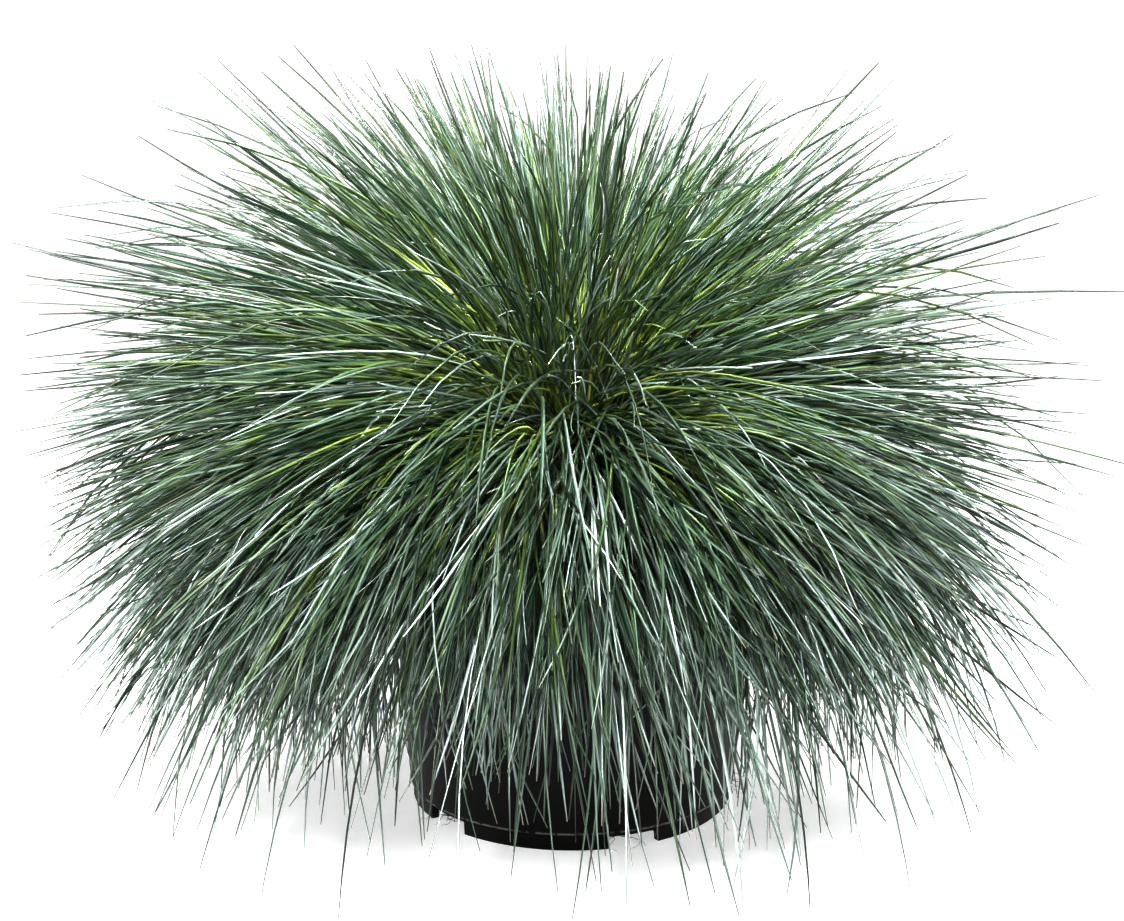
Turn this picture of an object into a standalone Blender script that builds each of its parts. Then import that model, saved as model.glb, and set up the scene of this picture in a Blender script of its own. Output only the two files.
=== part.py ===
"""Potted blue fescue clump: a round nursery pot, its soil, the crown and the tufts of blades.

Metres, +Z up. The origin is the centre of the pot's base, on the surface that the pot stands on.

The tufts fill one fountain. A blade's lean runs from 0, upright in the middle, to 1, hanging over
the pot's rim. Its root lies on the crown's dome, at a radius that grows with the lean. From the
root it leaves at the launch angle above the horizontal, and its bearing from the root falls evenly
with the distance, by the droop angle in all. Paths of different lean never cross, so a tuft is a
cell of lean and azimuth with a small gap to the cells around it.
"""

import math

import bmesh
import bpy
from mathutils import Matrix, Vector

# Pot, a thin moulded wall that widens upwards
POT_HEIGHT = 0.130
WALL_FOOT_RADIUS = 0.067
WALL_TOP_RADIUS = 0.0768
WALL_THICKNESS = 0.0013
RIM_RADIUS = 0.0835
RIM_DEPTH = 0.011
RIM_THICKNESS = 0.0015
RIM_CHAMFER = 0.0005
FOOT_HEIGHT = 0.0070
FOOT_INSET = 0.0007
FOOT_THICKNESS = 0.0032
BASE_UNDERSIDE = 0.0032
BASE_THICKNESS = 0.0015
POT_SEGMENTS = 60

# Drain notches, cut through the foot ring and the edge of the base
NOTCH_COUNT = 5
NOTCH_WIDTH = 0.0205
NOTCH_HEIGHT = 0.0067
NOTCH_INNER_RADIUS = 0.052
NOTCH_FIRST_ANGLE = math.radians(-68.2)

# Soil
SOIL_TOP = 0.118
SOIL_GAP = 0.0005
SOIL_MOUND = 0.002
SOIL_SEGMENTS = 48

# Crown, the dome of stem bases that the tufts grow from
CROWN_RADIUS = 0.036
CROWN_HEIGHT = 0.016
CROWN_EDGE_DROP = 0.65
CROWN_GAP = 0.0004
CROWN_SEGMENTS = 36
CROWN_STEPS = 4

# Tufts
ROOT_RADIUS = 0.034
ROOT_SPREAD = 0.8
LAUNCH_MIDDLE = math.radians(90)
LAUNCH_EDGE = math.radians(47)
DROOP_EDGE = math.radians(103)
DROOP_GROWTH = 1.2
REACH_MIDDLE = 0.160
REACH_BELLY = 0.035
REACH_EDGE_LOSS = 0.024
REACH_EDGE_POWER = 6
TUFT_SIDES = 10
TUFT_STEPS = 8
TUFT_ROUNDING = 0.72
NECK_FILL = 0.86
BELLY_FILL = 0.94
TIP_FILL = 0.16
BELLY_SHARE = 0.3
TAPER_SHARE = 0.45
SHORT_TUFT = 0.95
# name, lean at the inner edge, lean at the outer edge, tufts in the ring
RINGS = (
    ("inner", 0.12, 0.36, 6),
    ("middle", 0.36, 0.60, 10),
    ("outer", 0.60, 0.80, 12),
    ("skirt", 0.80, 1.00, 12),
)
TOP_TUFT_LEAN = 0.12

BLACK_PLASTIC = (0.012, 0.012, 0.013)
DARK_PEAT = (0.035, 0.022, 0.014)
STRAW_GREEN = (0.20, 0.19, 0.08)
BLUE_GREEN = (0.10, 0.20, 0.17)


def clear_scene():
    """Remove whatever the file holds."""
    for thing in list(bpy.data.objects):
        bpy.data.objects.remove(thing)


def make_material(name, color, roughness):
    """A plain Principled material."""
    material = bpy.data.materials.new(name)
    material.use_nodes = True
    shader = material.node_tree.nodes["Principled BSDF"]
    shader.inputs["Base Color"].default_value = (*color, 1)
    shader.inputs["Roughness"].default_value = roughness
    shader.inputs["Metallic"].default_value = 0
    return material


def finish_object(name, bm, material, sharp_angle):
    """Turn a bmesh into a smooth-shaded object with its material."""
    bmesh.ops.recalc_face_normals(bm, faces=bm.faces)
    mesh = bpy.data.meshes.new(name)
    bm.to_mesh(mesh)
    bm.free()
    mesh.shade_smooth()
    mesh.set_sharp_from_angle(angle=sharp_angle)
    thing = bpy.data.objects.new(name, mesh)
    thing.data.materials.append(material)
    bpy.context.collection.objects.link(thing)
    return thing


def turned(profile, segments):
    """A closed bmesh turned about Z from (radius, height) points whose ends lie on the axis."""
    bm = bmesh.new()
    verts = [bm.verts.new((radius, 0, height)) for radius, height in profile]
    edges = [bm.edges.new(pair) for pair in zip(verts, verts[1:])]
    bmesh.ops.spin(
        bm,
        geom=verts + edges,
        cent=(0, 0, 0),
        axis=(0, 0, 1),
        angle=2 * math.pi,
        steps=segments,
        use_merge=True,
    )
    bmesh.ops.remove_doubles(bm, verts=bm.verts, dist=1e-6)
    return bm


def wall_radius(height):
    """Outside radius of the pot's wall at a height."""
    share = height / POT_HEIGHT
    return WALL_FOOT_RADIUS + (WALL_TOP_RADIUS - WALL_FOOT_RADIUS) * share


def drain_notch_cutter():
    """Five blocks set round the foot ring, which the pot is cut with."""
    bm = bmesh.new()
    length = RIM_RADIUS - NOTCH_INNER_RADIUS
    height = 2 * NOTCH_HEIGHT
    for index in range(NOTCH_COUNT):
        block = bmesh.ops.create_cube(bm, size=1)["verts"]
        bmesh.ops.scale(bm, verts=block, vec=(length, NOTCH_WIDTH, height))
        bmesh.ops.translate(bm, verts=block, vec=(NOTCH_INNER_RADIUS + length / 2, 0, 0))
        turn = NOTCH_FIRST_ANGLE + 2 * math.pi * index / NOTCH_COUNT
        bmesh.ops.rotate(bm, verts=block, matrix=Matrix.Rotation(turn, 3, "Z"))
    cutter = finish_object("drain_notch_cutter", bm, None, math.radians(30))
    cutter.hide_render = True
    cutter.display_type = "WIRE"
    return cutter


def build_pot():
    """The pot: foot ring, tapered wall, turned-down rim and raised base, with drain notches."""
    foot_outer = WALL_FOOT_RADIUS - FOOT_INSET
    foot_inner = foot_outer - FOOT_THICKNESS
    base_top = BASE_UNDERSIDE + BASE_THICKNESS
    step_top = FOOT_HEIGHT + WALL_THICKNESS
    flange_underside = POT_HEIGHT - RIM_THICKNESS
    lip_inner = RIM_RADIUS - RIM_THICKNESS
    lip_bottom = POT_HEIGHT - RIM_DEPTH
    profile = [
        (0, base_top),
        (foot_outer - WALL_THICKNESS, base_top),
        (wall_radius(step_top) - WALL_THICKNESS, step_top),
        (wall_radius(POT_HEIGHT) - WALL_THICKNESS, POT_HEIGHT),
        (RIM_RADIUS - RIM_CHAMFER, POT_HEIGHT),
        (RIM_RADIUS, POT_HEIGHT - RIM_CHAMFER),
        (RIM_RADIUS, lip_bottom),
        (lip_inner, lip_bottom),
        (lip_inner, flange_underside),
        (wall_radius(flange_underside), flange_underside),
        (wall_radius(FOOT_HEIGHT), FOOT_HEIGHT),
        (foot_outer, FOOT_HEIGHT),
        (foot_outer, 0),
        (foot_inner, 0),
        (foot_inner, BASE_UNDERSIDE),
        (0, BASE_UNDERSIDE),
    ]
    plastic = make_material("black_plastic", BLACK_PLASTIC, 0.35)
    pot = finish_object("pot", turned(profile, POT_SEGMENTS), plastic, math.radians(30))
    cut = pot.modifiers.new("drain_notches", "BOOLEAN")
    cut.operation = "DIFFERENCE"
    cut.solver = "EXACT"
    cut.object = drain_notch_cutter()


def build_soil():
    """The soil: it fills the pot to a little under the rim, slightly mounded."""
    bottom = BASE_UNDERSIDE + BASE_THICKNESS + SOIL_GAP
    step_top = FOOT_HEIGHT + WALL_THICKNESS + SOIL_GAP
    inset = WALL_THICKNESS + SOIL_GAP
    profile = [
        (0, SOIL_TOP),
        (CROWN_RADIUS, SOIL_TOP),
        (wall_radius(SOIL_TOP) - inset, SOIL_TOP - SOIL_MOUND),
        (wall_radius(step_top) - inset, step_top),
        (WALL_FOOT_RADIUS - FOOT_INSET - inset, bottom),
        (0, bottom),
    ]
    peat = make_material("dark_peat", DARK_PEAT, 0.95)
    finish_object("potting_soil", turned(profile, SOIL_SEGMENTS), peat, math.radians(30))


def crown_surface(radius):
    """Height of the crown's dome at a radius."""
    return SOIL_TOP + CROWN_HEIGHT * (1 - CROWN_EDGE_DROP * (radius / CROWN_RADIUS) ** 2)


def build_crown():
    """The crown: a low dome on the soil."""
    radii = [CROWN_RADIUS * step / CROWN_STEPS for step in range(CROWN_STEPS + 1)]
    profile = [(radius, crown_surface(radius)) for radius in radii]
    profile += [(CROWN_RADIUS, SOIL_TOP + CROWN_GAP), (0, SOIL_TOP + CROWN_GAP)]
    straw = make_material("straw_green_stems", STRAW_GREEN, 0.8)
    finish_object("crown", turned(profile, CROWN_SEGMENTS), straw, math.radians(40))


def reach(lean):
    """How far a tuft's tip lies from its root: longest where the tufts arch sideways."""
    belly = REACH_BELLY * math.sin(math.pi * lean)
    return REACH_MIDDLE + belly - REACH_EDGE_LOSS * lean**REACH_EDGE_POWER


def point_on_path(lean, azimuth, share, length):
    """The point a share of the way from root to tip, on the path of a lean and an azimuth."""
    launch = LAUNCH_MIDDLE + (LAUNCH_EDGE - LAUNCH_MIDDLE) * lean
    bearing = launch - DROOP_EDGE * lean**DROOP_GROWTH * share
    distance = reach(lean) * length * share
    root = ROOT_RADIUS * lean**ROOT_SPREAD
    radius = root + distance * math.cos(bearing)
    height = crown_surface(root) + CROWN_GAP + distance * math.sin(bearing)
    return Vector((radius * math.cos(azimuth), radius * math.sin(azimuth), height))


def fullness(share):
    """How much of its cell a tuft fills: a slim neck, a full belly and a drawn-in tip."""
    widening = NECK_FILL + (BELLY_FILL - NECK_FILL) * min(share / BELLY_SHARE, 1)
    narrowing = (BELLY_FILL - TIP_FILL) * max((share - TAPER_SHARE) / (1 - TAPER_SHARE), 0) ** 2
    return widening - narrowing


def squared_wave(value):
    """A sine or cosine pushed towards its ends, so that a section fills its cell's corners."""
    return math.copysign(abs(value) ** TUFT_ROUNDING, value)


def build_tuft(name, section, length):
    """A tuft: rings of points along the paths, bridged and capped.

    section(side, fill) gives the lean and azimuth of one corner of a ring.
    """
    bm = bmesh.new()
    loops = []
    for step in range(TUFT_STEPS + 1):
        share = step / TUFT_STEPS
        ring = []
        for side in range(TUFT_SIDES):
            lean, azimuth = section(side, fullness(share))
            ring.append(bm.verts.new(point_on_path(lean, azimuth, share, length)))
        loops.append([bm.edges.new((ring[side - 1], ring[side])) for side in range(TUFT_SIDES)])
    for lower, upper in zip(loops, loops[1:]):
        bmesh.ops.bridge_loops(bm, edges=lower + upper)
    bmesh.ops.holes_fill(bm, edges=loops[0] + loops[-1], sides=TUFT_SIDES)
    green = make_material(name + "_green", BLUE_GREEN, 0.55)
    finish_object(name, bm, green, math.radians(60))


def top_section(side, fill):
    """A corner of the upright tuft in the middle, a small circle of lean."""
    return TOP_TUFT_LEAN * fill, 2 * math.pi * side / TUFT_SIDES


def ring_section(lean_inner, lean_outer, azimuth, half_width):
    """The section function of a tuft in a ring: a rounded rectangle of lean and azimuth."""
    lean_middle = (lean_inner + lean_outer) / 2
    lean_half = (lean_outer - lean_inner) / 2

    def section(side, fill):
        turn = 2 * math.pi * (side + 0.5) / TUFT_SIDES
        lean = lean_middle + lean_half * fill * squared_wave(math.cos(turn))
        return lean, azimuth + half_width * fill * squared_wave(math.sin(turn))

    return section


def build_tufts():
    """All the tufts: one upright in the middle, then ring after ring outwards."""
    build_tuft("tuft_top", top_section, 1)
    for ring, (name, lean_inner, lean_outer, count) in enumerate(RINGS):
        pitch = 2 * math.pi / count
        for index in range(count):
            azimuth = pitch * (index + 0.5 * (ring % 2))
            section = ring_section(lean_inner, lean_outer, azimuth, pitch / 2)
            length = SHORT_TUFT if index % 2 else 1
            build_tuft(f"tuft_{name}_{index + 1:02d}", section, length)


def build_clump():
    """The whole potted clump."""
    clear_scene()
    build_pot()
    build_soil()
    build_crown()
    build_tufts()


build_clump()
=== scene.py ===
"""Looks of the potted blue fescue clump: its blades, crown, soil, roots and nursery pot."""

import math

import bpy
import numpy as np
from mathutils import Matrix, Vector


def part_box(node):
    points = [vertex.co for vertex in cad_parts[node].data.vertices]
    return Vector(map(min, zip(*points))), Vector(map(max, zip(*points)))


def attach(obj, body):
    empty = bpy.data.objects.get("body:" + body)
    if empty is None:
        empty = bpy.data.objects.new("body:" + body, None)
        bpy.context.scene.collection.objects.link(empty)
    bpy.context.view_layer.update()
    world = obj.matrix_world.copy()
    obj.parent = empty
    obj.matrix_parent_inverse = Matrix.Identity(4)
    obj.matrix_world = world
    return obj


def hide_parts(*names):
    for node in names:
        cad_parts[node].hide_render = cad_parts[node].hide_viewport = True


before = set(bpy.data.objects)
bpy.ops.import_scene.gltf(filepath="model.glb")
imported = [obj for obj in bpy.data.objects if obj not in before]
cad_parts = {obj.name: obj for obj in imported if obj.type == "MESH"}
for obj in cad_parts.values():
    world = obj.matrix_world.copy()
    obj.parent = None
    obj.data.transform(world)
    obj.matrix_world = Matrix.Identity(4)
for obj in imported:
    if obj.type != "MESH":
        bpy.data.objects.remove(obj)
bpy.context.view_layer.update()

rng = np.random.default_rng(20)
TURN = 2 * math.pi

# ---------------------------------------------------------------- sizes from the frame

pot_low, pot_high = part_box("pot")
soil_low, soil_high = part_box("potting_soil")
crown_low, crown_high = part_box("crown")
RIM_TOP = pot_high.z
RIM_RADIUS = pot_high.x
SOIL_TOP = soil_high.z
CROWN_RADIUS = crown_high.x
CROWN_HEIGHT = crown_high.z - SOIL_TOP

# ---------------------------------------------------------------- the clump's driving dimensions

# The blades follow the rule that the tuft solids were made by, but most bend sooner after the root.
ROOT_RADIUS = 0.034
ROOT_SPREAD = 0.8
CROWN_EDGE_DROP = 0.65
LAUNCH_MIDDLE = math.radians(90)
LAUNCH_EDGE = math.radians(47)
DROOP_EDGE = math.radians(103)
DROOP_GROWTH = 1.2
SETTLE = 0.8
SETTLE_POWER = 8
REACH_MIDDLE = 0.160
REACH_BELLY = 0.035
REACH_EDGE_LOSS = 0.024
REACH_EDGE_POWER = 6
# name, lean at the inner edge, lean at the outer edge, tufts in the ring, shoots in a tuft,
# and points along a blade
RINGS = (
    ("inner", 0.12, 0.36, 6, 50, 11),
    ("middle", 0.36, 0.60, 10, 56, 11),
    ("outer", 0.60, 0.80, 12, 54, 12),
    ("skirt", 0.80, 1.00, 12, 46, 13),
)
TOP_LEAN = 0.12
TOP_SHOOTS = 40
TOP_STEPS = 9
BLADES_PER_SHOOT = 6
# A stray blade leaves its shoot by more. A leader is longer than the rest.
STRAY_SHARE = 0.22
STRAY_SPREAD = 2.6
LEADER_SHARE = 0.04
LEADER_EXTRA = 0.12
LONGEST = 1.09

BLADE_WIDTH = 0.00130
BLADE_FLATNESS = 0.7
BLADE_SIDES = 3
# A blade is cut where it would leave these bounds.
LOWEST_TIP = 0.012
HIGHEST_TIP = 0.312
WIDEST_TIP = 0.221
# The blades' colour map has a strip for each tint. Each family of tints starts at its strip.
VARIANTS = 24
TEAL_FROM, GREEN_FROM, LIME_FROM, STRAW_FROM = 6, 11, 17, 22
# The short blades take these strips, in these shares.
PALE_STRIPS = (1, 3, 4, 6, 9, 11, 14, 19, 23)
PALE_SHARES = (0.22, 0.06, 0.18, 0.14, 0.12, 0.08, 0.08, 0.08, 0.04)
# Shares of blue, teal, green, lime and straw blades in each ring.
RING_TINTS = {
    "top": (0.08, 0.22, 0.45, 0.24, 0.01),
    "inner": (0.12, 0.26, 0.40, 0.21, 0.01),
    "middle": (0.24, 0.35, 0.29, 0.11, 0.01),
    "outer": (0.38, 0.39, 0.18, 0.04, 0.01),
    "skirt": (0.66, 0.23, 0.06, 0.01, 0.04),
}

# ---------------------------------------------------------------- the pot's driving dimensions

FOOT_RADIUS = 0.067
WALL_TOP_RADIUS = 0.0768
WALL = 0.0013
FOOT_HEIGHT = 0.0070
FOOT_INSET = 0.0007
FOOT_WALL = 0.0032
BASE_LOW = 0.0032
BASE_THICK = 0.0015
NOTCH_INNER = 0.052
RIM_DEPTH = 0.011
RIM_WALL = 0.0015
EASE = 0.0003  # how far each moulded corner is eased
NOTCHES = 5
NOTCH_HALF = math.radians(9.0)
NOTCH_RAMP = math.radians(0.35)
NOTCH_FIRST = math.radians(-68.2)
NOTCH_ANGLES = NOTCH_FIRST + TURN * np.arange(NOTCHES) / NOTCHES
SHARP_ANGLE = math.radians(32)
SOIL_LOW_RADIUS = 0.0648


# ---------------------------------------------------------------- shader maths


class Value:
    """A shader socket that Python's operators work on. Each operator adds one Math node."""

    def __init__(self, finish, socket):
        self.finish = finish
        self.socket = socket

    def _math(self, operation, first, second):
        return self.finish.node("ShaderNodeMath", {"operation": operation}, {0: first, 1: second})

    def __add__(self, other):
        return self._math("ADD", self, other)

    def __radd__(self, other):
        return self._math("ADD", other, self)

    def __sub__(self, other):
        return self._math("SUBTRACT", self, other)

    def __rsub__(self, other):
        return self._math("SUBTRACT", other, self)

    def __mul__(self, other):
        return self._math("MULTIPLY", self, other)

    def __rmul__(self, other):
        return self._math("MULTIPLY", other, self)

    def __pow__(self, other):
        return self._math("POWER", self, other)

    def __gt__(self, other):
        return self._math("GREATER_THAN", self, other)

    def __lt__(self, other):
        return self._math("LESS_THAN", self, other)

    def floor(self):
        return self._math("FLOOR", self, 0)

    def fraction(self):
        return self._math("FRACT", self, 0)


class Finish:
    """A material whose nodes are added by expressions."""

    def __init__(self, name, roughness, specular=0.5):
        self.material = bpy.data.materials.new(name)
        self.material.use_nodes = True
        self.tree = self.material.node_tree
        self.shader = self.tree.nodes["Principled BSDF"]
        self.shader.inputs["Roughness"].default_value = roughness
        self.shader.inputs["Specular IOR Level"].default_value = specular

    def node(self, kind, settings=None, sockets=None, output=0):
        """Add a node: its settings first (a ramp's stops among them), then its sockets' values or
        links. Returns the output asked for, or a list of them where output is a tuple.
        """
        node = self.tree.nodes.new(kind)
        for name, setting in (settings or {}).items():
            if name == "stops":
                self._set_stops(node.color_ramp, setting)
            else:
                setattr(node, name, setting)
        for key, value in (sockets or {}).items():
            if isinstance(value, Value):
                self.tree.links.new(value.socket, node.inputs[key])
            else:
                node.inputs[key].default_value = value
        if isinstance(output, tuple):
            return [Value(self, node.outputs[index]) for index in output]
        return Value(self, node.outputs[output])

    @staticmethod
    def _set_stops(ramp, stops):
        while len(ramp.elements) < len(stops):
            ramp.elements.new(0.5)
        for element, (position, color) in zip(ramp.elements, stops):
            element.position = position
            element.color = (*color, 1)

    def set(self, socket, value):
        """Link an expression to one of the shader's sockets."""
        self.tree.links.new(value.socket, self.shader.inputs[socket])

    def place(self):
        """Where a point lies in its object, in metres."""
        return self.node("ShaderNodeTexCoord", output=3)

    def strip_map(self):
        """The two coordinates of a piece's own map: across the strips, and from root to tip."""
        uv = self.node("ShaderNodeUVMap", {"uv_map": "OFBake"})
        across, along = self.node("ShaderNodeSeparateXYZ", {}, {0: uv}, (0, 1))
        return across, along

    def noise(self, where, scale, detail=3, roughness=0.5):
        """Smooth noise between 0 and 1."""
        sockets = {"Vector": where, "Scale": scale, "Detail": detail, "Roughness": roughness}
        return self.node("ShaderNodeTexNoise", {}, sockets)

    def mix(self, share, first, second, blend="MIX"):
        """Blend two colours."""
        settings = {"data_type": "RGBA", "blend_type": blend}
        return self.node("ShaderNodeMix", settings, {0: share, 6: first, 7: second}, 2)

    def ramp(self, value, stops):
        """A colour for each value, from stops of position and colour."""
        return self.node("ShaderNodeValToRGB", {"stops": stops}, {0: value})

    def between(self, value, low, high):
        """0 below low, 1 above high, and a straight rise between them."""
        return self.node("ShaderNodeMapRange", {"clamp": True}, {0: value, 1: low, 2: high})

    def bump(self, height, distance, strength=1.0):
        """Tilt the surface by a height in 0 to 1, where 1 stands out by the distance."""
        sockets = {"Strength": strength, "Distance": distance, "Height": height}
        self.set("Normal", self.node("ShaderNodeBump", {}, sockets))


def gray(value):
    """A neutral colour."""
    return (value, value, value, 1)


# ---------------------------------------------------------------- materials


def blade_finish():
    """Waxy leaf: each strip of the map is one tint, which runs from a straw root to a dry tip. Its
    tone carries painted light and shade.
    """
    finish = Finish("waxy_blue_green_leaf", 0.43, 0.32)
    across_all, along = finish.strip_map()
    strip = (across_all * VARIANTS).floor()
    across = (across_all * VARIANTS).fraction()
    chance = (strip * 0.618034 + 0.1).fraction()
    blue = finish.ramp(
        along,
        [
            (0.00, (0.18, 0.16, 0.05)),
            (0.15, (0.13, 0.17, 0.04)),
            (0.40, (0.13, 0.185, 0.075)),
            (0.65, (0.200, 0.262, 0.232)),
            (1.00, (0.275, 0.330, 0.335)),
        ],
    )
    teal = finish.ramp(
        along,
        [
            (0.00, (0.17, 0.16, 0.04)),
            (0.15, (0.12, 0.17, 0.03)),
            (0.40, (0.11, 0.18, 0.050)),
            (0.65, (0.105, 0.190, 0.118)),
            (1.00, (0.130, 0.205, 0.160)),
        ],
    )
    green = finish.ramp(
        along,
        [
            (0.00, (0.24, 0.23, 0.06)),
            (0.15, (0.25, 0.30, 0.045)),
            (0.40, (0.23, 0.32, 0.055)),
            (0.70, (0.17, 0.25, 0.09)),
            (1.00, (0.13, 0.20, 0.130)),
        ],
    )
    lime = finish.ramp(
        along,
        [
            (0.00, (0.30, 0.27, 0.08)),
            (0.15, (0.30, 0.34, 0.04)),
            (0.50, (0.29, 0.36, 0.05)),
            (1.00, (0.17, 0.24, 0.11)),
        ],
    )
    straw = finish.ramp(
        along,
        [
            (0.00, (0.18, 0.14, 0.08)),
            (0.40, (0.24, 0.21, 0.14)),
            (1.00, (0.34, 0.31, 0.25)),
        ],
    )
    color = finish.mix(strip > TEAL_FROM - 0.5, blue, teal)
    color = finish.mix(strip > GREEN_FROM - 0.5, color, green)
    color = finish.mix(strip > LIME_FROM - 0.5, color, lime)
    color = finish.mix(strip > STRAW_FROM - 0.5, color, straw)
    dry = finish.between(along, 0.955, 0.995) * (0.35 + 0.5 * chance)
    color = finish.mix(dry, color, (0.38, 0.33, 0.24, 1))
    where = finish.node("ShaderNodeCombineXYZ", {}, {0: strip * 3.7, 1: along, 2: across * 0.05})
    patches = finish.noise(where, 5.0, 2, 0.5)
    light = (0.22 + 0.80 * chance) * (0.70 + 0.6 * patches)
    grassy = strip > TEAL_FROM - 0.5
    # Along the blade: painted light makes the teal, green, lime and straw blades much lighter near
    # the root, lifting the shaded heart of the clump. Blue blades are a little darker near the
    # root, partly darker sheaths and partly painted shade.
    outer = finish.between(along, 0.25, 0.65)
    light = light * (1.14 + 1.11 * grassy - (1.47 * grassy - 0.20) * outer)
    light = light * (1 - 0.60 * grassy * finish.between(along, 0.50, 0.90))
    # Painted shade: each blade is darker on one side of its tube, as if its fold were in shadow,
    # and lighter towards the opposite ridge.
    light = light * (0.45 + 0.80 * finish.between(across, 0.30, 0.95))
    tones = {0: light**1.18 * 1.02, 1: light, 2: light**1.15 * 0.97}
    tone = finish.node("ShaderNodeCombineXYZ", {}, tones)
    color = finish.mix(1.0, color, tone, "MULTIPLY")
    # A pale line along each blade's ridge: partly real wax bloom and partly a painted highlight.
    edge = finish.between(across, 0.55, 1.0) * finish.between(along, 0.15, 0.5)
    bloom_and_highlight = edge * (0.10 + 0.26 * chance) * (strip < LIME_FROM - 0.5)
    finish.set("Base Color", finish.mix(bloom_and_highlight, color, (0.44, 0.49, 0.49, 1)))
    return finish.material


def pot_finish():
    """Black moulded plastic, satin, with dust that gathers low on the wall and a painted highlight
    along the wall's lower edge.
    """
    finish = Finish("black_nursery_plastic", 0.34, 0.10)
    where = finish.place()
    cloud = finish.noise(where, 38.0, 5, 0.6)
    fine = finish.noise(where, 900.0, 2, 0.5)
    height = finish.node("ShaderNodeSeparateXYZ", {}, {0: where}, 2)
    low = 1 - finish.between(height, 0.0, 0.035)
    dust = finish.between(cloud + 0.25 * low, 0.52, 0.95)
    color = finish.mix(dust * 0.12, (0.0012, 0.0012, 0.0013, 1), (0.06, 0.053, 0.042, 1))
    # Painted highlight: a pale broken line along the lower edge of the wall, where the edge would
    # catch the light.
    edge = finish.between(height, 0.0064, 0.0070) * (1 - finish.between(height, 0.0076, 0.0082))
    painted_edge_highlight = edge * finish.between(finish.noise(where, 240.0, 3, 0.6), 0.42, 0.55)
    finish.set("Base Color", finish.mix(painted_edge_highlight * 0.7, color, (0.20, 0.19, 0.17, 1)))
    finish.set("Roughness", 0.38 + 0.12 * cloud + 0.25 * dust)
    finish.bump(fine * 0.6 + cloud * 0.4, 0.00006, 0.6)
    return finish.material


def soil_finish():
    """Dark peat with paler fibres."""
    finish = Finish("moist_peat", 0.92, 0.2)
    where = finish.place()
    crumbs = finish.noise(where, 420.0, 6, 0.65)
    damp = finish.noise(where, 60.0, 3, 0.5)
    stops = [
        (0.30, (0.008, 0.006, 0.004)),
        (0.50, (0.028, 0.018, 0.011)),
        (0.66, (0.060, 0.040, 0.024)),
        (0.80, (0.140, 0.100, 0.062)),
    ]
    color = finish.ramp(crumbs, stops)
    finish.set("Base Color", finish.mix(damp * 0.6, color, (0.012, 0.008, 0.006, 1)))
    finish.bump(crumbs, 0.0012)
    return finish.material


def stem_finish():
    """Dull stem bases: straw, olive and a little purple brown, darker towards the soil."""
    finish = Finish("stem_bases", 0.7, 0.25)
    across_all, along = finish.strip_map()
    strip = (across_all * VARIANTS).floor()
    chance = finish.node("ShaderNodeTexWhiteNoise", {"noise_dimensions": "1D"}, {"W": strip + 7.5})
    root = finish.ramp(
        chance,
        [
            (0.0, (0.055, 0.032, 0.020)),
            (0.4, (0.110, 0.070, 0.035)),
            (0.7, (0.170, 0.120, 0.055)),
            (1.0, (0.260, 0.200, 0.100)),
        ],
    )
    tip = finish.ramp(
        chance,
        [
            (0.0, (0.100, 0.120, 0.040)),
            (0.5, (0.150, 0.170, 0.050)),
            (1.0, (0.330, 0.290, 0.150)),
        ],
    )
    finish.set("Base Color", finish.mix(finish.between(along, 0.15, 0.85), root, tip))
    return finish.material


def root_finish():
    """Thin dark brown roots."""
    finish = Finish("dark_roots", 0.8, 0.2)
    cloud = finish.noise(finish.place(), 300.0, 2, 0.5)
    stops = [(0.35, (0.012, 0.009, 0.007)), (0.65, (0.070, 0.045, 0.028))]
    finish.set("Base Color", finish.ramp(cloud, stops))
    return finish.material


def floor_finish():
    """Plain pale floor, a matte sheet lit a little from below."""
    finish = Finish("pale_floor", 0.9, 0.1)
    finish.shader.inputs["Base Color"].default_value = gray(0.60)
    finish.shader.inputs["Emission Color"].default_value = gray(1)
    finish.shader.inputs["Emission Strength"].default_value = 0.60
    return finish.material


# ---------------------------------------------------------------- meshes from arrays


def make_piece(name, points, faces, material, strip_uv=None):
    """A smooth mesh object at the origin, from points (n, 3) and lists of faces of equal length.

    strip_uv (n, 2) is each point's place on the piece's own map.
    """
    mesh = bpy.data.meshes.new(name)
    corners = np.concatenate([group.ravel() for group in faces]).astype(np.int32)
    sizes = np.concatenate([np.full(len(group), group.shape[1]) for group in faces])
    starts = np.concatenate([[0], np.cumsum(sizes)[:-1]]).astype(np.int32)
    mesh.vertices.add(len(points))
    mesh.vertices.foreach_set("co", np.ascontiguousarray(points, dtype=np.float32).ravel())
    mesh.loops.add(len(corners))
    mesh.loops.foreach_set("vertex_index", corners)
    mesh.polygons.add(len(starts))
    mesh.polygons.foreach_set("loop_start", starts)
    mesh.update(calc_edges=True)
    mesh.shade_smooth()
    if strip_uv is not None:
        layer = mesh.uv_layers.new(name="OFBake")
        layer.data.foreach_set("uv", strip_uv[corners].astype(np.float32).ravel())
    piece = bpy.data.objects.new(name, mesh)
    mesh.materials.append(material)
    bpy.context.scene.collection.objects.link(piece)
    return piece


def unit(vectors):
    """Vectors of the same directions with length 1."""
    return vectors / np.maximum(np.linalg.norm(vectors, axis=-1, keepdims=True), 1e-12)


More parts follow.
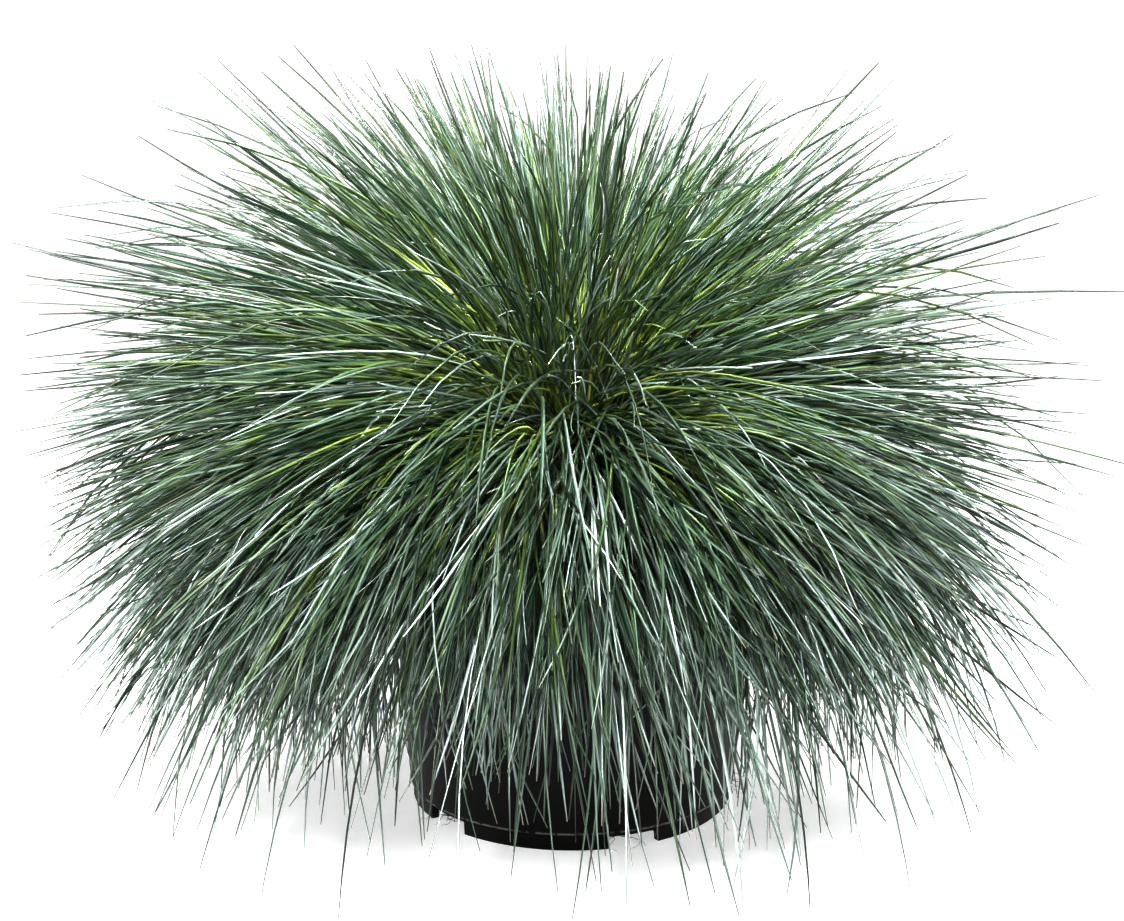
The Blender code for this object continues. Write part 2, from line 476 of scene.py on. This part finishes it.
def tubes(paths, widths, thicknesses, rolls, sides, lateral):
    """Closed tubes along many paths at once.

    paths is (count, steps, 3). At each step stands an ellipse, widths by thicknesses across, at
    right angles to the path. Its long axis is the lateral direction (count, 1, 3) less its part
    along the path, turned round the path by rolls. Returns the points (count, steps, sides, 3),
    the faces of the walls and of the two ends, and how far across each corner lies, from 0 to 1.
    """
    count, steps, _ = paths.shape
    tangent = unit(np.gradient(paths, axis=1))
    along = (lateral * tangent).sum(-1, keepdims=True)
    side = unit(lateral - along * tangent)
    up = np.cross(tangent, side)
    roll = rolls[..., None]
    wide = side * np.cos(roll) + up * np.sin(roll)
    deep = up * np.cos(roll) - side * np.sin(roll)
    angle = TURN * np.arange(sides) / sides
    x = np.cos(angle)[None, None, :, None] * (widths / 2)[..., None, None]
    y = np.sin(angle)[None, None, :, None] * (thicknesses / 2)[..., None, None]
    points = paths[:, :, None] + x * wide[:, :, None] + y * deep[:, :, None]
    index = np.arange(count * steps * sides).reshape(count, steps, sides)
    following = np.roll(index, -1, axis=2)
    walls = np.stack([index[:, :-1], following[:, :-1], following[:, 1:], index[:, 1:]], -1)
    starts = index[:, 0, ::-1]
    ends = index[:, -1]
    across = np.broadcast_to(0.5 + 0.5 * np.cos(angle), (count, steps, sides))
    faces = [walls.reshape(-1, 4), starts.reshape(-1, sides), ends.reshape(-1, sides)]
    return points.reshape(-1, 3), faces, across


def strip_places(variants, across, shares):
    """Places on a map of strips: inside the strip of its variant, and as high as its share."""
    u = (variants[:, None, None] + 0.12 + 0.76 * across) / VARIANTS
    v = np.broadcast_to(0.01 + 0.98 * shares[:, :, None], u.shape)
    return np.stack([u, v], -1).reshape(-1, 2)


# ---------------------------------------------------------------- the paths of the blades


def crown_surface(radius):
    """Height of the crown's dome: its top, less a drop that grows with the radius squared."""
    return SOIL_TOP + CROWN_HEIGHT * (1 - CROWN_EDGE_DROP * (radius / CROWN_RADIUS) ** 2)


def reach(lean):
    """Distance from root to tip: longest where the blades arch sideways."""
    belly = REACH_BELLY * np.sin(math.pi * lean)
    return REACH_MIDDLE + belly - REACH_EDGE_LOSS * lean**REACH_EDGE_POWER


def blade_paths(lean, azimuth, length, droop, lift, skew, sway, curl, shares):
    """Paths from the crown outwards, one for each blade.

    The root lies on the crown's dome, at a radius that grows with the lean. The bearing from the
    root starts at the launch angle and falls with the distance, by the droop in all: faster near
    the root, except in the outermost blades. A curl that grows with the share squared is taken off
    too. The path lies in an upright plane, which is turned from the root's azimuth by the skew,
    apart from a sideways sway that grows with the share to the power 1.6. Where a path would turn
    back to the pot it hangs straight down. The arrays are (count, 1), and shares is (count, steps).
    """
    bearing = LAUNCH_MIDDLE + (LAUNCH_EDGE - LAUNCH_MIDDLE) * lean + lift
    settled = shares * (1 + SETTLE * (1 - lean**SETTLE_POWER) * (1 - shares))
    bearing = bearing - DROOP_EDGE * lean**DROOP_GROWTH * droop * settled - curl * shares**2
    distance = reach(lean) * length * shares
    root = ROOT_RADIUS * lean**ROOT_SPREAD
    outward = np.maximum.accumulate(distance * np.cos(bearing), axis=-1)
    height = crown_surface(root) + distance * np.sin(bearing)
    aside = sway * np.maximum(shares, 0) ** 1.6
    heading = azimuth + skew
    x = root * np.cos(azimuth) + outward * np.cos(heading) - aside * np.sin(heading)
    y = root * np.sin(azimuth) + outward * np.sin(heading) + aside * np.cos(heading)
    return np.stack([x, y, height], -1)


def off_the_pot(paths, clearance):
    """Move points that are inside the pot's outline out past its rim or up over it."""
    radius = np.linalg.norm(paths[..., :2], axis=-1)
    outward = RIM_RADIUS + clearance - radius
    upward = RIM_TOP + clearance - paths[..., 2]
    inside = (outward > 0) & (upward > 0) & (radius > CROWN_RADIUS)
    push_out = inside & (outward < upward)
    push_up = inside & ~push_out
    scale = np.where(push_out, (RIM_RADIUS + clearance) / np.maximum(radius, 1e-6), 1)
    paths[..., :2] *= scale[..., None]
    paths[..., 2] = np.where(push_up, RIM_TOP + clearance, paths[..., 2])
    return paths


# ---------------------------------------------------------------- blades


def pick_variants(count, shares):
    """A strip for each blade. The shares are of blue, teal, green, lime and straw blades."""
    starts = np.array([0, TEAL_FROM, GREEN_FROM, LIME_FROM, STRAW_FROM, VARIANTS])
    family = rng.choice(5, count, p=np.array(shares) / sum(shares))
    return np.floor(starts[family] + rng.random(count) * np.diff(starts)[family])


def share_in_bounds(column, lowest, highest, widest):
    """The share of each path, from its root, that stays between two heights and inside a radius."""
    shares = np.broadcast_to(np.linspace(0, 1, 61), (len(lowest), 61))
    paths = blade_paths(*column, shares)
    height, radius = paths[..., 2], np.linalg.norm(paths[..., :2], axis=-1)
    clear = (height > lowest[:, None]) & (height < highest[:, None]) & (radius < widest[:, None])
    return (np.cumprod(clear, 1).sum(1, keepdims=True) - 1) / 60


def blade_piece(name, blades, steps, material, first_height=0.0):
    """Blades as one mesh: thin three-sided tubes that keep their width, then narrow to a point.

    blades holds one array for each of the path rule's terms, and each blade's width, strip and
    lowest height. It may hold how much further out than the rest these blades go. The roots take
    their tint from the first height of the strips.
    """
    count = len(blades["lean"])
    terms = ("lean", "azimuth", "length", "droop", "lift", "skew", "sway", "curl")
    column = [blades[term][:, None] for term in terms]
    part = np.linspace(0, 1, steps)
    highest = HIGHEST_TIP - 0.02 * rng.random(count)
    widest = WIDEST_TIP - 0.03 * rng.random(count) ** 2 + blades.get("further", 0)
    shares = part * share_in_bounds(column, blades["lowest"], highest, widest)
    wave = 0.0012 * rng.standard_normal((count, 1, 3)) * np.sin(
        shares * rng.uniform(4, 9, (count, 1)) + rng.uniform(0, TURN, (count, 1)))[..., None]
    paths = blade_paths(*column, shares) + wave * shares[..., None]
    paths = off_the_pot(paths, 0.0015 + 0.004 * rng.random((count, 1)))
    narrowing = 0.68 * np.clip((part - 0.80) / 0.20, 0, 1) ** 1.8
    taper = np.minimum(1, 0.7 + 1.2 * part) * (1 - narrowing)
    widths = blades["width"][:, None] * taper
    rolls = rng.uniform(0, TURN, (count, 1)) + rng.normal(0, 0.7, (count, 1)) * part
    azimuth = blades["azimuth"]
    lateral = np.stack([-np.sin(azimuth), np.cos(azimuth), np.zeros(count)], -1)[:, None]
    points, faces, across = tubes(paths, widths, widths * BLADE_FLATNESS, rolls, BLADE_SIDES,
                                  lateral)
    heights = np.broadcast_to(first_height + (1 - first_height) * part, (count, steps))
    places = strip_places(blades["strip"], across, heights)
    return make_piece(name, points, faces, material, places)


def tuft_blades(name, leans, azimuth_middle, azimuth_half, shoots, steps, tints, material):
    """The blades of one tuft. Shoots are spread over its cell, and a shoot's blades lie close.

    The clump is lopsided: longer on the left, hollow in the upper right, with a curtain that hangs
    low over the front of the pot, and a thin fringe of long blades at the two front corners.
    """
    count = shoots * BLADES_PER_SHOOT
    lean_inner, lean_outer = leans
    blue_side = 1 + 0.25 * math.cos(azimuth_middle)
    tints = [tints[0] * blue_side, tints[1] * blue_side, *tints[2:]]
    rightward = math.cos(azimuth_middle)
    to_front = max(0.0, -math.sin(azimuth_middle))
    front = to_front**3
    corner = 2 * to_front * abs(rightward)
    loose = 1 - lean_outer

    # one value for each shoot
    spill = 0.14 * (lean_outer - lean_inner)
    shoot_lean = rng.uniform(lean_inner - spill, lean_outer + spill, shoots)
    shoot_turn = azimuth_half * (rng.uniform(-1.15, 1.15, shoots) + rng.normal(0, 0.15))
    shoot_skew = rng.normal(0, math.radians(13 + 24 * loose), shoots)
    shoot_droop = rng.normal(1.03, 0.11, shoots) + rng.normal(0, 0.05)
    held = 0.13 * (1 - front) * (1 - 0.8 * corner)
    shoot_droop = shoot_droop - held * shoot_lean**4 - 0.05 * rightward
    shoot_lift = rng.normal(math.radians(-1.5), math.radians(5 + 4 * loose), shoots)
    shoot_lift = shoot_lift + rng.normal(0, math.radians(2.5))
    shoot_sway = rng.normal(0, 0.024, shoots) + rng.normal(0, 0.006)
    shoot_length = rng.normal(0.76 + 0.24 * min(1, lean_outer / 0.78), 0.07, shoots)
    hollow = max(0.0, rightward) * np.exp(-(((shoot_lean - 0.59) / 0.19) ** 2))
    shoot_length = shoot_length - 0.07 * rightward * lean_outer - 0.24 * hollow

    # one value for each blade, near its shoot's, and further from it in the stray ones
    stray = np.where(rng.random(count) < STRAY_SHARE, STRAY_SPREAD, 1.0)

    def spread(values, scatter):
        return np.repeat(values, BLADES_PER_SHOOT) + rng.normal(0, scatter, count) * stray

    lean = np.clip(spread(shoot_lean, 0.018), 0.0, 1.03)
    short = rng.random(count) < 0.22 - 0.10 * lean_outer * (1 - front)
    uneven = rng.random(count) ** (1.5 - 0.5 * corner)
    full = 1.02 + 0.20 * corner - (0.32 + 0.30 * corner) * uneven
    full = full + LEADER_EXTRA * (rng.random(count) < LEADER_SHARE)
    share = np.where(short, rng.uniform(0.45, 0.95, count), full)
    fringe = rng.random(count) < (0.13 + 0.06 * rightward) * corner
    share = np.where(fringe, rng.uniform(1.02, 1.30, count), share)

    # the height that a blade is cut at, if it gets there
    beside = to_front**2 * abs(rightward)
    lowest = LOWEST_TIP + 0.006 + 0.003 * (1 - front) + 0.05 * front * rightward
    lowest = lowest + 0.24 * to_front**2 * beside + 0.03 * corner * max(0.0, rightward)
    lowest = lowest + (0.035 + 0.04 * front + 0.11 * beside) * rng.random(count) ** 0.6
    lowest = np.where(fringe, LOWEST_TIP + 0.035 * rng.random(count), lowest)

    turn_scatter = math.radians(2.6) / math.sqrt(max(lean_outer, 0.15))
    blades = {
        "lean": lean,
        "azimuth": azimuth_middle + spread(shoot_turn, turn_scatter),
        "length": share * np.minimum(spread(shoot_length, 0), LONGEST),
        "droop": spread(shoot_droop, 0.07),
        "lift": spread(shoot_lift, math.radians(3 + 2 * loose)),
        "skew": spread(shoot_skew, math.radians(8 + 12 * loose)),
        "sway": spread(shoot_sway, 0.022),
        "curl": math.radians(7) * np.abs(rng.normal(0, 1, count)) * stray,
        "width": BLADE_WIDTH * rng.uniform(0.78, 1.25, count),
        "strip": pick_variants(count, tints),
        "lowest": lowest,
    }
    return blade_piece(name, blades, steps, material)


def make_short_blades(material):
    """Short curled blades that stand over the crown, paler than the rest."""
    count = 840
    lean = rng.uniform(0.15, 1.0, count)
    blades = {
        "lean": lean,
        "azimuth": rng.uniform(0, TURN, count),
        "length": rng.uniform(0.22, 0.78, count),
        "droop": rng.uniform(0.7, 1.3, count) * (1.15 - 0.35 * lean),
        "lift": rng.normal(0.10, 0.20, count),
        "skew": rng.normal(0, 0.50, count),
        "sway": rng.normal(0, 0.030, count),
        "curl": 1.0 * rng.random(count) ** 1.6,
        "width": BLADE_WIDTH * rng.uniform(0.75, 1.10, count),
        "strip": rng.choice(PALE_STRIPS, count, p=PALE_SHARES),
        "lowest": np.full(count, 0.03),
    }
    return blade_piece("short_blades", blades, 22, material, 0.3)


def make_stray_blades(material):
    """Long single blades that stand out of the mop, each placed by its own values."""
    # azimuth in degrees, lean, length, droop, lift in degrees, strip
    strays = np.array([
        (92, 0.10, 1.12, 1.0, 0, 8),
        (100, 0.14, 1.05, 0.6, 3, 12),
        (150, 0.22, 1.08, 0.5, 2, 13),
        (168, 0.48, 1.12, 0.45, 6, 9),
        (172, 0.46, 1.10, 0.5, 4, 14),
        (163, 0.50, 1.12, 0.4, 5, 10),
        (178, 0.62, 1.10, 0.6, 2, 8),
        (187, 0.72, 1.13, 0.62, -4, 9),
        (190, 0.74, 1.12, 0.60, -6, 3),
        (12, 0.40, 1.08, 0.5, 2, 4),
        (3, 0.60, 1.16, 0.45, -4, 9),
        (356, 0.66, 1.15, 0.50, -8, 2),
        (350, 0.70, 1.20, 0.55, -6, 10),
        (346, 0.74, 1.16, 0.62, -5, 12),
        (35, 0.45, 1.05, 0.5, 3, 11),
        (228, 0.86, 1.25, 0.98, 0, 8),
        (236, 0.88, 1.28, 0.96, 0, 5),
        (243, 0.90, 1.26, 0.98, 0, 8),
        (220, 0.84, 1.18, 0.98, 0, 10),
        (214, 0.82, 1.18, 0.96, 0, 8),
        (300, 0.90, 1.24, 0.96, 0, 8),
        (312, 0.87, 1.20, 0.98, 0, 5),
        (323, 0.86, 1.16, 0.96, 0, 8),
    ])
    azimuth, lean, length, droop, lift, strip = strays.T
    count = len(strays)
    blades = {
        "lean": lean,
        "azimuth": np.radians(azimuth),
        "length": length,
        "droop": droop,
        "lift": np.radians(lift),
        "skew": np.zeros(count),
        "sway": rng.normal(0, 0.006, count),
        "curl": np.full(count, 0.05),
        "width": np.full(count, 0.0011),
        "strip": strip,
        "lowest": np.full(count, 0.010),
        "further": 0.012,
    }
    return blade_piece("stray_blades", blades, 16, material)


def make_tufts(material):
    """A piece of blades for each tuft, in place of its solid."""
    top = tuft_blades("blades_top", (0.0, TOP_LEAN), 0, math.pi, TOP_SHOOTS, TOP_STEPS,
                      RING_TINTS["top"], material)
    mount(top, "tuft_top")
    for ring, (name, lean_inner, lean_outer, count, shoots, steps) in enumerate(RINGS):
        pitch = TURN / count
        for index in range(count):
            azimuth = pitch * (index + 0.5 * (ring % 2))
            label = f"{name}_{index + 1:02d}"
            piece = tuft_blades("blades_" + label, (lean_inner, lean_outer), azimuth, pitch / 2,
                                shoots, steps, RING_TINTS[name], material)
            mount(piece, "tuft_" + label)


# ---------------------------------------------------------------- pot


def make_pot(material):
    """The pot, a profile carried round the axis. The foot ring and base lift at the notches."""

    def wall_radius(z):
        return FOOT_RADIUS + (WALL_TOP_RADIUS - FOOT_RADIUS) * z / RIM_TOP

    rise = np.linspace(0, 1, 16)
    outer_z = FOOT_HEIGHT + 0.0006 + (RIM_TOP - RIM_WALL - 0.0006 - FOOT_HEIGHT) * rise
    inner_z = FOOT_HEIGHT + WALL + (RIM_TOP - 0.0008 - FOOT_HEIGHT - WALL) * rise[::-1]
    outer_foot = FOOT_RADIUS - FOOT_INSET
    lip = RIM_RADIUS - RIM_WALL
    # radius, height, and 1 where a notch lifts the point to the wall's lower edge
    profile = [
        (0.0, BASE_LOW, 0),
        (NOTCH_INNER - 0.0002, BASE_LOW, 0),
        (NOTCH_INNER, BASE_LOW, 1),
        (outer_foot - FOOT_WALL - 0.0002, BASE_LOW, 1),
        (outer_foot - FOOT_WALL, BASE_LOW - 0.0004, 1),
        (outer_foot - FOOT_WALL, EASE, 1),
        (outer_foot - FOOT_WALL + EASE, 0.0, 1),
        (outer_foot - EASE, 0.0, 1),
        (outer_foot, EASE, 1),
        (outer_foot, FOOT_HEIGHT - 0.0002, 0),
        (wall_radius(FOOT_HEIGHT) - EASE, FOOT_HEIGHT, 0),
        (wall_radius(FOOT_HEIGHT), FOOT_HEIGHT + EASE, 0),
    ]
    profile += [(wall_radius(z), z, 0) for z in outer_z]
    profile += [
        (wall_radius(RIM_TOP) + 0.0005, RIM_TOP - RIM_WALL, 0),
        (lip - 0.0004, RIM_TOP - RIM_WALL, 0),
        (lip, RIM_TOP - RIM_WALL - 0.0004, 0),
        (lip, RIM_TOP - RIM_DEPTH + EASE, 0),
        (lip + EASE, RIM_TOP - RIM_DEPTH, 0),
        (RIM_RADIUS - EASE, RIM_TOP - RIM_DEPTH, 0),
        (RIM_RADIUS, RIM_TOP - RIM_DEPTH + EASE, 0),
        (RIM_RADIUS, RIM_TOP - 0.0008, 0),
        (RIM_RADIUS - EASE, RIM_TOP - 0.0002, 0),
        (RIM_RADIUS - 0.0010, RIM_TOP, 0),
        (wall_radius(RIM_TOP) - WALL + 0.0006, RIM_TOP, 0),
        (wall_radius(RIM_TOP) - WALL, RIM_TOP - 0.0005, 0),
    ]
    profile += [(wall_radius(z) - WALL, z, 0) for z in inner_z]
    profile += [(outer_foot - WALL, BASE_LOW + BASE_THICK, 0), (0.0, BASE_LOW + BASE_THICK, 0)]
    radius, level, lifted = np.array(profile).T

    offsets = (-NOTCH_HALF - NOTCH_RAMP, -NOTCH_HALF, NOTCH_HALF, NOTCH_HALF + NOTCH_RAMP)
    corners = np.concatenate([NOTCH_ANGLES + offset for offset in offsets])
    even = circle(240)
    turns = np.sort(np.concatenate([even, corners % TURN]))
    distance = np.abs((turns[:, None] - NOTCH_ANGLES + math.pi) % TURN - math.pi).min(1)
    open_here = np.clip((NOTCH_HALF + NOTCH_RAMP - distance) / NOTCH_RAMP, 0, 1)
    ceiling = FOOT_HEIGHT - 0.0003
    z = level + lifted * open_here[:, None] * (ceiling - level)
    piece = turned_piece("nursery_pot", ring_points(turns, radius, z), material)
    piece.data.set_sharp_from_angle(angle=SHARP_ANGLE)
    return piece


def circle(count):
    """Evenly spaced angles round the axis."""
    return np.arange(count) * TURN / count


def ring_points(turns, radii, heights):
    """Points (turns, profile, 3): radius times each turn's cosine and sine, and height."""
    x = radii * np.cos(turns)[:, None]
    y = radii * np.sin(turns)[:, None]
    return np.stack([x, y, np.broadcast_to(heights, x.shape)], -1)


def turned_piece(name, points, material):
    """A closed surface from rings of points (turns, profile, 3) whose first and last are poles.

    The profile runs outwards along the underside, up the outside and back in over the top.
    """
    turns, steps, _ = points.shape
    inner = points[:, 1:-1].reshape(-1, 3)
    poles = np.stack([points[0, 0], points[0, -1]])
    index = np.arange(turns * (steps - 2)).reshape(turns, steps - 2)
    following = np.roll(index, -1, axis=0)
    quads = np.stack([index[:, :-1], following[:, :-1], following[:, 1:], index[:, 1:]], -1)
    first, last = len(inner), len(inner) + 1
    under = np.stack([np.full(turns, first), following[:, 0], index[:, 0]], -1)
    over = np.stack([np.full(turns, last), index[:, -1], following[:, -1]], -1)
    faces = [quads.reshape(-1, 4), under, over]
    return make_piece(name, np.concatenate([inner, poles]), faces, material)


# ---------------------------------------------------------------- soil, crown and roots


def smooth_noise(shape, passes):
    """Random heights on a grid that is closed along its first side, evened out by averaging."""
    heights = rng.standard_normal(shape)
    for _ in range(passes):
        heights = (heights + np.roll(heights, 1, 0) + np.roll(heights, -1, 0)) / 3
        heights[:, 1:-1] = (heights[:, :-2] + heights[:, 1:-1] + heights[:, 2:]) / 3
    return heights / heights.std()


def make_soil(material):
    """The soil, a slightly mounded disc with a crumbly top, on a tapered plug."""
    turns, rings = 220, 70
    edge_top = soil_high.x - 0.0004
    radii = np.concatenate([[0], np.linspace(0.002, edge_top, rings)])
    mound = SOIL_TOP - 0.002 * np.clip((radii - CROWN_RADIUS) / (edge_top - CROWN_RADIUS), 0, 1)
    lumps = 0.0009 * smooth_noise((turns, rings), 2) + 0.0012 * smooth_noise((turns, rings), 9)
    lumps[:, -1] = -0.001
    angles = circle(turns)
    top = ring_points(angles, radii, mound - 0.0012)
    top[:, 1:, 2] += np.clip(lumps, -0.003, 0.0016)
    low_radii = np.array([SOIL_LOW_RADIUS, SOIL_LOW_RADIUS - 0.001, 0])
    low_heights = soil_low.z + np.array([0.004, 0.0003, 0.0003])
    bottom = ring_points(angles, low_radii, low_heights)
    return turned_piece("peat_soil", np.concatenate([top, bottom], 1)[:, ::-1], material)


def make_crown(material):
    """The crown's dome, furrowed between the stems."""
    turns, rings = 140, 36
    radii = np.linspace(0, CROWN_RADIUS - 0.0008, rings + 1)
    furrows = 0.0009 * smooth_noise((turns, rings + 1), 2)
    furrows[:, 0] = 0
    angles = circle(turns)
    heights = crown_surface(radii) - 0.002 + np.clip(furrows, -0.002, 0.001)
    top = ring_points(angles, radii, heights)
    low_radii = np.array([CROWN_RADIUS - 0.0008, 0])
    bottom = ring_points(angles, low_radii, crown_low.z - 0.002)
    return turned_piece("crown_dome", np.concatenate([top, bottom], 1)[:, ::-1], material)


def make_stems(material):
    """Stem bases: short stout tubes that follow the blades' paths out of the crown."""
    count, steps = 520, 6
    lean = np.sqrt(rng.random(count))
    azimuth = rng.uniform(0, TURN, count)
    length = rng.uniform(0.10, 0.26, count)
    droop = np.full(count, 0.2)
    lift = rng.normal(0, 0.12, count)
    skew = rng.normal(0, 0.2, count)
    sway = rng.normal(0, 0.006, count)
    column = [term[:, None] for term in (lean, azimuth, length, droop, lift, skew, sway)]
    shares = np.broadcast_to(np.linspace(-0.12, 1, steps), (count, steps))
    paths = blade_paths(*column, 0.0, shares)
    part = np.linspace(0, 1, steps)
    widths = rng.uniform(0.0014, 0.0024, count)[:, None] * (1 - 0.6 * part**2)
    rolls = np.broadcast_to(rng.uniform(0, TURN, (count, 1)), (count, steps))
    lateral = np.stack([-np.sin(azimuth), np.cos(azimuth), np.zeros(count)], -1)[:, None]
    points, faces, across = tubes(paths, widths, widths * 0.8, rolls, 5, lateral)
    variants = np.floor(rng.random(count) * VARIANTS)
    places = strip_places(variants, across, np.broadcast_to(part, (count, steps)))
    return make_piece("stem_bases", points, faces, material, places)


def make_roots(material):
    """Root hairs from the drain notches: thin wandering threads that sink to the floor."""
    per_notch, steps = 7, 16
    count = per_notch * NOTCHES
    angle = np.repeat(NOTCH_ANGLES, per_notch) + rng.normal(0, math.radians(5), count)
    heading = np.stack([np.cos(angle), np.sin(angle), np.zeros(count)], -1)
    turn = np.cumsum(rng.normal(0, 0.55, (count, steps)), 1)
    step_length = rng.uniform(0.0005, 0.0011, (count, 1, 1))
    lateral = np.stack([-heading[:, 1], heading[:, 0], heading[:, 2]], -1)
    moves = heading[:, None] * np.cos(turn)[..., None] + lateral[:, None] * np.sin(turn)[..., None]
    moves[..., 2] = rng.normal(-0.25, 0.5, (count, steps))
    paths = heading[:, None] * 0.0625 + np.cumsum(moves, 1) * step_length
    paths[..., 2] += 0.0050
    paths[..., 2] = np.maximum(paths[..., 2], 0.0004)
    widths = 0.00035 * np.linspace(1, 0.4, steps) * np.ones((count, 1))
    rolls = np.zeros((count, steps))
    points, faces, _ = tubes(paths, widths, widths, rolls, 4, np.array([[[0.1, 0.2, 1.0]]]))
    return make_piece("root_hairs", points, faces, material)


# ---------------------------------------------------------------- stage, light and camera


def make_stage():
    """A wide pale floor that fills the view."""
    bpy.ops.mesh.primitive_plane_add(size=80, location=(0, 0, 0))
    floor = bpy.context.object
    floor.name = "pale_floor"
    floor.data.materials.append(floor_finish())


def soft_light(name, power, size, spot, target=(0, 0, 0.16), spread=180):
    """A square soft box at a spot, turned to its target, with a grid that limits its spread."""
    lamp = bpy.data.lights.new(name, "AREA")
    lamp.energy = power
    lamp.size = size
    lamp.spread = math.radians(spread)
    holder = bpy.data.objects.new(name, lamp)
    bpy.context.scene.collection.objects.link(holder)
    holder.location = spot
    aim = Vector(spot) - Vector(target)
    holder.rotation_euler = aim.to_track_quat("Z", "Y").to_euler()


def make_light():
    """Studio light, from soft boxes.

    A wide bank hangs behind the clump. The key stands high in front, and a narrow fill in front
    lifts the heart of the clump. A fill does the same for the back, and two small boxes at the
    sides reach under the blades to the pot.
    """
    world = bpy.data.worlds.new("studio")
    world.use_nodes = True
    backdrop = world.node_tree.nodes["Background"]
    backdrop.inputs["Color"].default_value = gray(1)
    backdrop.inputs["Strength"].default_value = 0.03
    bpy.context.scene.world = world
    soft_light("overhead_bank", 450, 9.0, (0, 4.0, 3.5), (0, 4.0, 0))
    soft_light("key", 9.5, 0.40, (-0.15, -1.15, 1.80), spread=32)
    soft_light("upper_fill", 1.05, 0.3, (0.10, -1.35, 0.95), (0.005, 0.04, 0.24), spread=9)
    soft_light("back_fill", 1.1, 0.3, (0.15, 1.35, 0.90), (0, 0.06, 0.13), spread=18)
    soft_light("left_box", 12, 0.2, (-0.9, 0.20, 0.11), (0, 0, 0.06))
    soft_light("right_box", 9, 0.2, (0.9, 0.20, 0.11), (0, 0, 0.06))


def make_camera():
    """A long lens a metre away, looking down a little at the clump."""
    lens, height, back, pitch, aside = 85.0, 0.4243, 1.0398, 15.18, -0.0042
    data = bpy.data.cameras.new("camera")
    data.lens = lens
    data.sensor_width = 36
    camera = bpy.data.objects.new("camera", data)
    bpy.context.scene.collection.objects.link(camera)
    camera.location = (aside, -back, height)
    camera.rotation_euler = (math.radians(90 - pitch), 0, 0)
    bpy.context.scene.camera = camera


# ---------------------------------------------------------------- build


def mount(piece, node):
    """Attach a piece to the root body and let it stand for a node, whose solid is hidden."""
    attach(piece, "root")
    if node:
        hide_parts(node)


def build():
    make_camera()
    make_stage()
    make_light()
    view = bpy.context.scene.view_settings
    view.view_transform = "Standard"
    view.gamma = 0.78
    mount(make_pot(pot_finish()), "pot")
    mount(make_soil(soil_finish()), "potting_soil")
    stems = stem_finish()
    root_brown = root_finish()
    mount(make_crown(root_brown), "crown")
    mount(make_stems(stems), None)
    mount(make_roots(root_brown), None)
    leaf = blade_finish()
    make_tufts(leaf)
    mount(make_short_blades(leaf), None)
    mount(make_stray_blades(leaf), None)


build()
